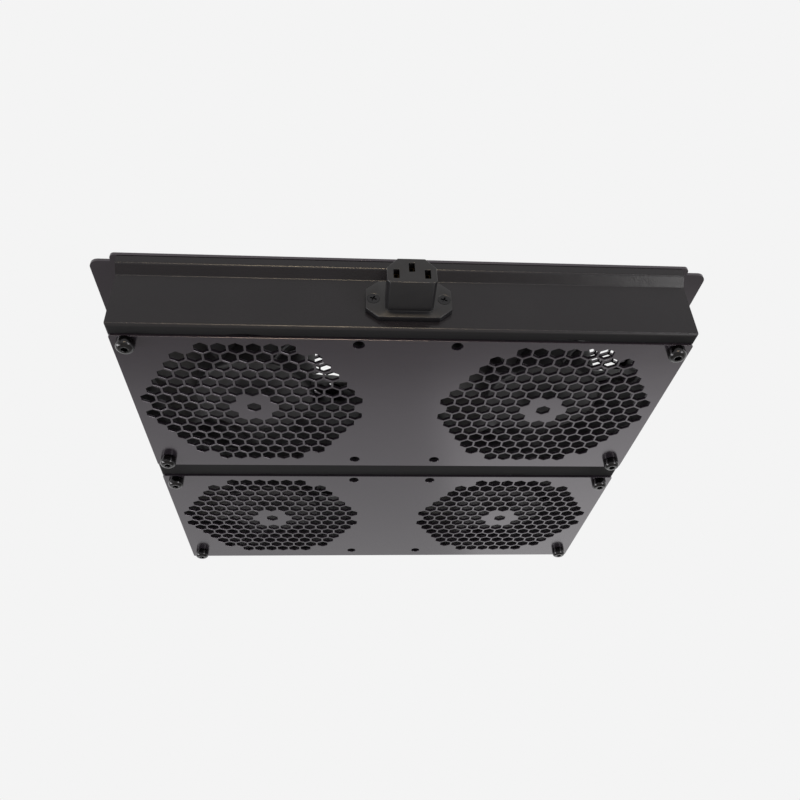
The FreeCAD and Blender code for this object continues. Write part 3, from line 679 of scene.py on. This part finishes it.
def clamp_screws():
    """Long M5 screws with a domed head and a hexagon socket; the tips stand out of the deck."""
    low, high = (Vector(corner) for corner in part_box("clamp_screws"))
    seat = Vector(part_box("rear_grille_plate")[0]).z
    thread_start = high.z - thread_turns * thread_pitch
    spots = [spot for fan in fan_places.values() for spot in fan_holes(fan)
             if abs(spot[0]) > max(abs(fan.x) for fan in fan_places.values())]
    head_r = high.x - max(x for x, y in spots)
    head = domed_head(head_r, low.z, seat)
    shank = cylinder(shank_r, seat - shank_in_head, thread_start, shank_sides)
    core = cylinder(thread_core_r, thread_start - MM, high.z, shank_sides)
    round_sharp_edges(core, tip_round, segments=2, turn=60)
    only(head, shank, core, thread_ridge(high.z))
    bpy.ops.object.join()
    place_in_mesh(head)
    smooth(head, turn=32)
    screws = copies(head, [(x, y, 0) for x, y in spots])
    finish_piece(screws, "domed_screws", "tray", "black_oxide", "clamp_screws")


# ---------------------------------------------------------------- studio
def studio_floor():
    """Pale floor well below the tray."""
    bpy.ops.mesh.primitive_plane_add(size=floor_size, location=floor_place)
    floor = bpy.context.object
    floor.name = "studio_floor"
    floor.data.materials.append(studio_floor_paper())
    place_in_mesh(floor)


def soft_lamp(name, place, size, brightness, colour="#ffffff"):
    """Soft box, its width and height given, that looks at the tray; as bright as given where a
    mirror shows it."""
    width, height = size
    lamp = bpy.data.objects.new(name, bpy.data.lights.new(name, "AREA"))
    lamp.data.shape = "RECTANGLE"
    lamp.data.size = width
    lamp.data.size_y = height
    lamp.data.energy = brightness * math.pi * width * height
    lamp.data.color = linear(colour)[:3]
    lamp.location = place
    lamp.rotation_mode = "QUATERNION"
    lamp.rotation_quaternion = (-Vector(place)).to_track_quat("-Z", "Y")
    lamp.visible_camera = False
    bpy.context.collection.objects.link(lamp)


def studio_world():
    """Even soft light, and a white backdrop for the eye and for every gloss."""
    world = bpy.data.worlds.new("studio_world")
    bpy.context.scene.world = world
    world.use_nodes = True
    tree = world.node_tree
    tree.nodes.clear()
    path = add_node(tree, "ShaderNodeLightPath", {})
    seen = add_node(tree, "ShaderNodeMath", {0: path.outputs["Is Camera Ray"],
                                             1: path.outputs["Is Glossy Ray"]}, operation="MAXIMUM")
    seen = add_node(tree, "ShaderNodeMath", {0: seen.outputs[0],
                                             1: path.outputs["Is Transmission Ray"]},
                    operation="MAXIMUM")
    strength = add_node(tree, "ShaderNodeMapRange",
                        {"Value": seen.outputs[0], "To Min": soft_light, "To Max": 1.0})
    light = add_node(tree, "ShaderNodeBackground",
                     {"Color": linear("#f4f4f4"), "Strength": strength.outputs["Result"]})
    add_node(tree, "ShaderNodeOutputWorld", {"Surface": light.outputs["Background"]})


def studio_camera():
    """Low behind the socket, looking up at the grilles."""
    camera = bpy.data.objects.new("studio_camera", bpy.data.cameras.new("studio_camera"))
    camera.data.lens = camera_lens
    camera.data.sensor_width = camera_sensor
    camera.location = camera_place
    camera.rotation_mode = "QUATERNION"
    camera.rotation_quaternion = ((Vector(camera_aim) - camera.location).to_track_quat("-Z", "Y")
                                  @ Quaternion((0, 0, 1), math.radians(camera_roll)))
    bpy.context.collection.objects.link(camera)
    bpy.context.scene.camera = camera


def studio():
    """Floor, backdrop, lamps and camera."""
    studio_floor()
    studio_world()
    soft_lamp("lamp_front_right", (0.74, 1.60, -0.94), (0.9, 0.7), 0.6)
    soft_lamp("lamp_left_strip", (-1.15, -0.08, -0.55), (0.45, 1.1), 9)
    soft_lamp("lamp_right_strip", (0.88, -0.97, -0.53), (0.45, 0.8), 8)
    soft_lamp("lamp_behind_camera", (-0.10, -2.2, 0.22), (0.6, 0.2), 40, "#ffe6c0")
    soft_lamp("lamp_behind_right", (1.3, -2.0, 0.15), (0.35, 0.35), 9)
    soft_lamp("lamp_rear_strip", (0.0, -2.3, 0.25), (2.6, 0.2), 3)
    studio_camera()
    bpy.context.scene.view_settings.view_transform = "Standard"


dress_solids()
for row in ("rear", "front"):
    grille_sheet(row)
deck_sheet()
mains_socket()
clamp_screws()
studio()
